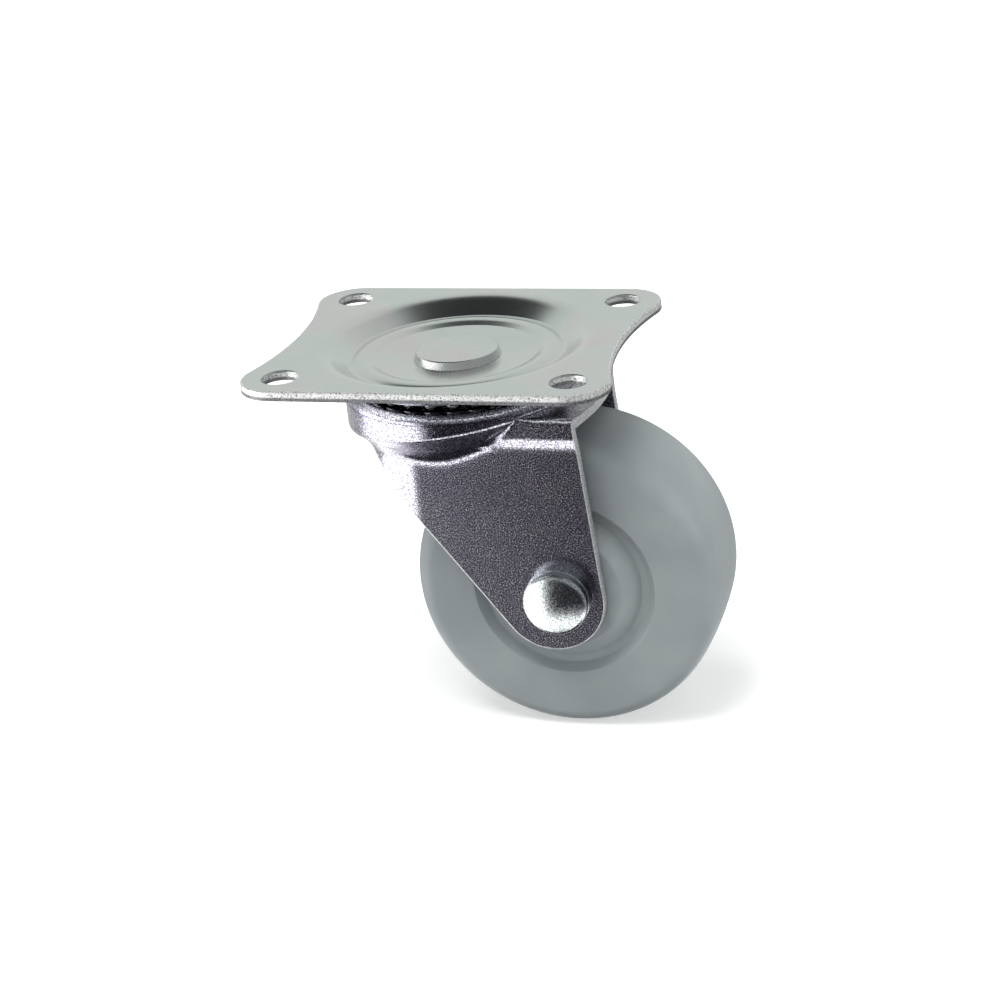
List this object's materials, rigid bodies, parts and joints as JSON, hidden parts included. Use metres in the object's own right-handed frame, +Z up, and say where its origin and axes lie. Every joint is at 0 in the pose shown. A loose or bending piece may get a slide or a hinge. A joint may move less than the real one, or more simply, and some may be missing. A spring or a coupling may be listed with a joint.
{
  "type": "swivel castor",
  "caption": "Plate-mounted swivel castor: pressed steel plate with a dished ball race, swivelling pressed fork and a plain moulded wheel that trails behind the swivel axis.",
  "frame": {"origin": "on the swivel axis in the flat top face of the plate, at the centre of its bolt pattern", "axes": "+Z up out of the plate along the swivel axis, +X along the plate's long side towards the trailing wheel, Y along the axle at rest"},
  "size_m": [0.0714, 0.0494, 0.0636],
  "materials": {
    "zinc_plate": "clear zinc plated, smooth, faint green and pink tints",
    "zinc_fork": "clear zinc plated, fine bright grain",
    "zinc_rivet": "clear zinc plated, smooth",
    "zinc_race": "clear zinc plated",
    "ball_steel": "hardened bearing steel, greased",
    "grey_plastic": "fine matt moulded"
  },
  "bodies": {
    "mounting_plate": {"top_plate": "zinc_plate", "kingpin": "zinc_rivet", "lower_race": "zinc_race"},
    "swivel_fork": {"fork": "zinc_fork", "axle_sleeve": "zinc_race", "axle_rivet": "zinc_rivet"},
    "road_wheel": {"wheel": "grey_plastic"},
    "upper_ball_ring": {"upper_ball_01": "ball_steel", "upper_ball_02": "ball_steel", "upper_ball_03": "ball_steel", "upper_ball_04": "ball_steel", "upper_ball_05": "ball_steel", "upper_ball_06": "ball_steel", "upper_ball_07": "ball_steel", "upper_ball_08": "ball_steel", "upper_ball_09": "ball_steel", "upper_ball_10": "ball_steel", "upper_ball_11": "ball_steel", "upper_ball_12": "ball_steel", "upper_ball_13": "ball_steel", "upper_ball_14": "ball_steel", "upper_ball_15": "ball_steel", "upper_ball_16": "ball_steel", "upper_ball_17": "ball_steel", "upper_ball_18": "ball_steel", "upper_ball_19": "ball_steel", "upper_ball_20": "ball_steel", "upper_ball_21": "ball_steel", "upper_ball_22": "ball_steel", "upper_ball_23": "ball_steel", "upper_ball_24": "ball_steel", "upper_ball_25": "ball_steel", "upper_ball_26": "ball_steel", "upper_ball_27": "ball_steel", "upper_ball_28": "ball_steel"},
    "lower_ball_ring": {"lower_ball_01": "ball_steel", "lower_ball_02": "ball_steel", "lower_ball_03": "ball_steel", "lower_ball_04": "ball_steel", "lower_ball_05": "ball_steel", "lower_ball_06": "ball_steel", "lower_ball_07": "ball_steel", "lower_ball_08": "ball_steel", "lower_ball_09": "ball_steel", "lower_ball_10": "ball_steel", "lower_ball_11": "ball_steel", "lower_ball_12": "ball_steel", "lower_ball_13": "ball_steel", "lower_ball_14": "ball_steel", "lower_ball_15": "ball_steel", "lower_ball_16": "ball_steel", "lower_ball_17": "ball_steel", "lower_ball_18": "ball_steel", "lower_ball_19": "ball_steel", "lower_ball_20": "ball_steel"}
  },
  "joints": [
    {"name": "swivel", "type": "hinge", "parent": "mounting_plate", "child": "swivel_fork", "pos_m": [0, 0, 0], "axis": [0, 0, 1], "continuous": true},
    {"name": "wheel_spin", "type": "hinge", "parent": "swivel_fork", "child": "road_wheel", "pos_m": [0.0171, 0, -0.0386], "axis": [0, 1, 0], "continuous": true},
    {"name": "upper_ring_roll", "type": "hinge", "parent": "mounting_plate", "child": "upper_ball_ring", "pos_m": [0, 0, -0.00503], "axis": [0, 0, 1], "continuous": true},
    {"name": "lower_ring_roll", "type": "hinge", "parent": "mounting_plate", "child": "lower_ball_ring", "pos_m": [0, 0, -0.00813], "axis": [0, 0, 1], "continuous": true}
  ],
  "couplings": [
    {"joint": "upper_ring_roll", "follows": "swivel", "ratio": 0.5},
    {"joint": "lower_ring_roll", "follows": "swivel", "ratio": 0.5}
  ]
}
